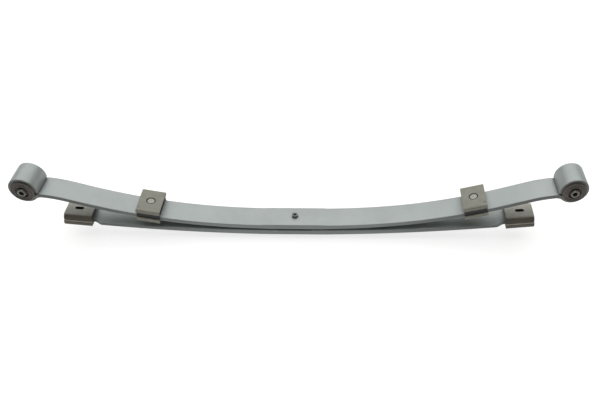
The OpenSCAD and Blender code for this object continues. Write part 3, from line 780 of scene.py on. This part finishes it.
def makeShoe(side):
    word, d = names[side], secondLeaf["shoeAt"][side]
    t, wall, length = secondThickness(d), shoe["wall"], shoe["length"]
    shoulder, domeHalf = shoe["dome"] + 0.5, shoe["footWidth"] / 2 - shoe["ledge"]
    body = prism(word + "EndShoe", shoeOutline(t - 0.5, domeHalf, shoulder),
                 -length / 2, length / 2, axes="xzy")
    roundEdges(body, 0.9, 3, angle=50)
    besideTip, aboveTip = shoe["fit"]
    slotHalf = secondLeaf["tipWidth"] / 2 + besideTip
    slotLow, slotHigh = -length / 2 + wall, length / 2 + wall
    cutAway(body, prism("cutter", roundedBox(-slotHalf, slotHalf, -aboveTip, t + aboveTip, 0.8),
                        slotLow, slotHigh, axes="xzy"))
    hollow, room = shoulder - wall, domeHalf - wall
    roof = arc(room - hollow, t - 1, hollow, 0, 90, 10)
    roof += arc(-room + hollow, t - 1, hollow, 90, 180, 10)
    cutAway(body, prism("cutter", roof, slotLow, slotHigh, axes="xzy"))
    r, run, shift = shoe["slotRadius"], shoe["slotRun"] / 2, shoe["slotShift"]
    opening = arc(0, run - shift, r, 0, 180, 16) + arc(0, -run - shift, r, 180, 360, 16)
    cutAway(body, prism("cutter", opening, t + 1, 60, axes="xyz"))
    button, buttonTop = shoe["button"], t - 1.0
    cutAway(body, lathe("cutter", [
        (nearAxis, -wall / 2), (button, -wall / 2), (button, buttonTop - 0.6),
        (button - 0.6, buttonTop), (nearAxis, buttonTop)], closed=False, count=48), "UNION")
    # the dark side tone, painted shade, covers the dome's rounded front and the sides
    markUpward(place(body, onSecondTip(d, side)), 0.80, 0.97)
    finishPiece(body, shoeNylon, [word + "_end_shoe"], word + "_helper")


for side in (-1, 1):
    makeShoe(side)
print("shoes made")

# Centre bolt and nut
bolt = {
    "head": 7.0, "headHeight": 6.0, "socket": 3.5, "socketDepth": 4.0, "shank": 5.0,
    "stub": 3.0, "pitch": 1.5, "threadDepth": 0.75, "flats": 17.0, "nutHeight": 8.0,
    "nutBore": 5.03,
}
nutTop = secondLeaf["top"] - secondLeaf["seatThickness"]
nutLow = nutTop - bolt["nutHeight"]
stubEnd = nutLow - bolt["stub"]
threads = []
z = nutTop - 0.4
while z > stubEnd + 1.2:
    threads += [(bolt["shank"], z), (bolt["shank"] - bolt["threadDepth"], z - bolt["pitch"] / 2)]
    z -= bolt["pitch"]
headTop, headEdge = bolt["headHeight"], bolt["head"]
boltPiece = lathe("centreBolt", [
    (nearAxis, headTop), (headEdge - 1.0, headTop), (headEdge - 0.4, headTop - 0.15),
    (headEdge, headTop - 0.7), (headEdge, 0.5), (headEdge - 0.3, 0.0), (bolt["shank"], 0.0),
    *threads, (bolt["shank"] - 0.9, stubEnd), (nearAxis, stubEnd)], closed=False)
cutAway(boltPiece, prism("cutter", arc(0, 0, bolt["socket"], 0, 300, 5),
                         headTop - bolt["socketDepth"], headTop + 5, axes="xyz"))
finishPiece(boltPiece, boltSteel, ["centre_bolt"], "centre")
corner = bolt["flats"] / math.sqrt(3)
nut = prism("centreNut", arc(0, 0, corner, 0, 300, 5), nutLow, nutTop, axes="xyz")
# a cone at each end takes off the nut's corners
wide, tight = corner + 0.5, corner - 0.55
cutAway(nut, lathe("cutter", [
    (nearAxis, nutTop), (tight, nutTop), (wide, nutTop - 0.6), (wide, nutLow + 0.6),
    (tight, nutLow), (nearAxis, nutLow)], closed=False), "INTERSECT")
cutAway(nut, roundCutter(bolt["nutBore"], nutTop - 20, nutTop + 1))
finishPiece(nut, boltSteel, ["centre_nut"], "centre")
print("bolt and nut made")

# Parts kept from the model
keptFinishes = {
    "interleaf_spacer": spacerSteel, "front_bush_shell": shellSteel, "rear_bush_shell": shellSteel,
}
for nodeName, material in keptFinishes.items():
    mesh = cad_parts[nodeName].data
    mesh.materials.clear()
    mesh.materials.append(material)

# Floor and light
studio = {
    "floor": "#9b9b9a", "floorGlow": 0.72, "floorRoughness": 0.9, "floorHalf": 30.0,
    "wall": "#f0f0ee",
    "wallShape": [(28000, 0), (28000, 15000), (20000, 24000), (nearAxis, 28000)],
    "world": "#ffffff", "worldStrength": 0.10,
    "floorGap": 0.0005, "wallGap": 0.001,  # metres below the spring's lowest point
}


def glowing(name, base, glow, strength, roughness=0.5):
    material = bpy.data.materials.new(name)
    material.use_nodes = True
    inputs = material.node_tree.nodes["Principled BSDF"].inputs
    inputs["Base Color"].default_value = hexColour(base)
    inputs["Roughness"].default_value = roughness
    inputs["Emission Color"].default_value = hexColour(glow)
    inputs["Emission Strength"].default_value = strength
    return material


lowest, half = cadBox[0][2], studio["floorHalf"]
floor = meshFrom("floor", [(-half, -half, 0), (half, -half, 0), (half, half, 0), (-half, half, 0)],
                 [[0, 1, 2, 3]])
floor.location.z = lowest - studio["floorGap"]
# a lit table, so shadows stay faint
floor.data.materials.append(glowing(
    "paleFloor", studio["floor"], "#ffffff", studio["floorGlow"], studio["floorRoughness"]))
# pale backdrop all round, for the eye only: it neither lights the spring nor shades it
backdropWall = lathe("backdrop", studio["wallShape"], closed=False, count=48)
backdropWall.location.z = lowest - studio["wallGap"]
backdropWall.data.materials.append(glowing("paleBackdrop", "#000000", studio["wall"], 1.0))
for rays in ("visible_diffuse", "visible_glossy", "visible_shadow", "visible_transmission"):
    setattr(backdropWall, rays, False)
# a very wide overhead light, as from a soft tent, and a weak low one in front
lamps = {  # spread is in degrees
    "overheadTent": {"toward": (0.03, -0.40, -1.0), "spread": 95, "strength": 3.75},
    "frontFill": {"toward": (0.02, 0.80, -0.60), "spread": 50, "strength": 0.18},
}
for name, lamp in lamps.items():
    light = bpy.data.lights.new(name, "SUN")
    light.angle = math.radians(lamp["spread"])
    light.energy = lamp["strength"]
    lampObject = bpy.data.objects.new(name, light)
    lampObject.rotation_mode = "QUATERNION"
    lampObject.rotation_quaternion = Vector(lamp["toward"]).to_track_quat("-Z", "Y")
    lampObject.location = (0, 0, 2)
    bpy.context.collection.objects.link(lampObject)
world = bpy.data.worlds.new("studio")
world.use_nodes = True
backdrop = world.node_tree.nodes["Background"]
backdrop.inputs["Color"].default_value = hexColour(studio["world"])
backdrop.inputs["Strength"].default_value = studio["worldStrength"]
bpy.context.scene.world = world
bpy.context.scene.view_settings.view_transform = "Standard"
print("floor and light set")
